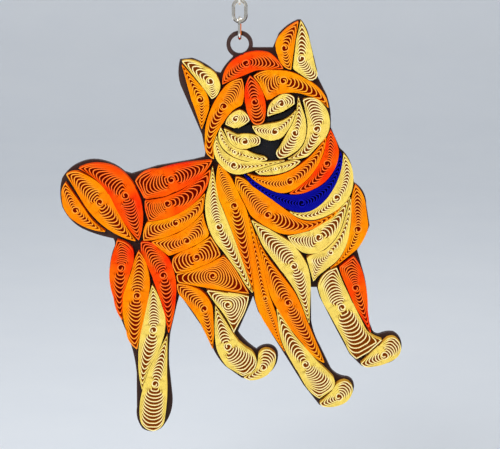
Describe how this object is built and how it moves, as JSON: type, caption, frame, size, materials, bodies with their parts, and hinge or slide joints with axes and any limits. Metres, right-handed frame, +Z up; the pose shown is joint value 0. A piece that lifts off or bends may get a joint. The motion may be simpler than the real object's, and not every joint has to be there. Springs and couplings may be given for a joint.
{
  "type": "quilled paper art",
  "caption": "Hanging ornament of a dog in rolled paper strips, glued on edge to a cut board with a ring, on the end of a fine chain.",
  "frame": {"origin": "centre of the pin that the chain's top link hangs on", "axes": "+Z up, -Y out of the decorated front, +X to the right seen from the front"},
  "size_m": [0.0615, 0.0041, 0.0819],
  "materials": {
    "orange_paper": "matte orange paper strip, rolled and glued on edge",
    "deep_orange_paper": "matte deep orange paper strip, rolled and glued on edge",
    "cream_paper": "matte cream paper strip, rolled and glued on edge",
    "blue_paper": "matte dark blue paper strip, rolled and glued on edge",
    "black_paper": "smooth black paper, cut flat",
    "brown_board": "dark brown cut board",
    "chain_metal": "bright plated wire"
  },
  "bodies": {
    "chain_top": {"link_top": "chain_metal"},
    "chain_middle": {"link_middle": "chain_metal"},
    "chain_lower": {"link_lower": "chain_metal"},
    "figure": {"backing_board": "brown_board", "eye_left_black": "black_paper", "eye_right_black": "black_paper", "mouth_black": "black_paper", "tail_roll_lower": "orange_paper", "tail_roll_middle": "orange_paper", "tail_roll_upper": "deep_orange_paper", "back_roll": "deep_orange_paper", "flank_roll_1": "deep_orange_paper", "flank_roll_2": "orange_paper", "flank_roll_3": "orange_paper", "flank_roll_4": "orange_paper", "flank_roll_5": "orange_paper", "groin_roll": "orange_paper", "haunch_roll_1": "deep_orange_paper", "haunch_roll_2": "orange_paper", "haunch_roll_3": "deep_orange_paper", "shin_roll": "cream_paper", "rear_foot_roll": "cream_paper", "belly_roll": "cream_paper", "middle_leg_roll": "cream_paper", "middle_foot_roll": "cream_paper", "shoulder_sliver_roll": "cream_paper", "neck_roll_left": "orange_paper", "foreleg_roll_inner": "orange_paper", "foreleg_roll_outer": "orange_paper", "chest_roll": "cream_paper", "shoulder_roll": "orange_paper", "bib_roll_upper": "cream_paper", "bib_roll_middle": "cream_paper", "bib_roll_lower": "cream_paper", "breast_roll": "orange_paper", "foreleg_roll_lower": "cream_paper", "fore_foot_roll": "cream_paper", "far_leg_roll_outer": "deep_orange_paper", "far_leg_roll_inner": "cream_paper", "far_foot_roll": "cream_paper", "collar_roll": "blue_paper", "neck_roll_front": "orange_paper", "neck_roll_right": "deep_orange_paper", "forehead_roll": "deep_orange_paper", "cheek_roll_left": "orange_paper", "brow_roll": "orange_paper", "nose_bridge_roll": "deep_orange_paper", "ear_roll_left_outer": "orange_paper", "ear_roll_left_inner": "cream_paper", "ear_roll_right_outer": "orange_paper", "ear_roll_right_inner": "cream_paper", "eyelid_roll_left": "cream_paper", "eyelid_roll_right": "cream_paper", "muzzle_roll_left": "cream_paper", "muzzle_roll_right": "cream_paper", "lip_roll": "cream_paper", "jaw_roll": "cream_paper", "chin_roll": "cream_paper", "muzzle_roll_side": "cream_paper", "cheek_roll_right": "cream_paper"}
  },
  "joints": [
    {"name": "middle_link_swing", "type": "hinge", "parent": "chain_top", "child": "chain_middle", "pos_m": [0, 0, -0.00312], "axis": [0, 1, 0], "range_deg": [-40, 40]},
    {"name": "lower_link_swing", "type": "hinge", "parent": "chain_middle", "child": "chain_lower", "pos_m": [0, 0, -0.00624], "axis": [1, 0, 0], "range_deg": [-40, 40]},
    {"name": "figure_swing", "type": "hinge", "parent": "chain_lower", "child": "figure", "pos_m": [0, 0, -0.00916], "axis": [0, 1, 0], "range_deg": [-40, 40]}
  ]
}
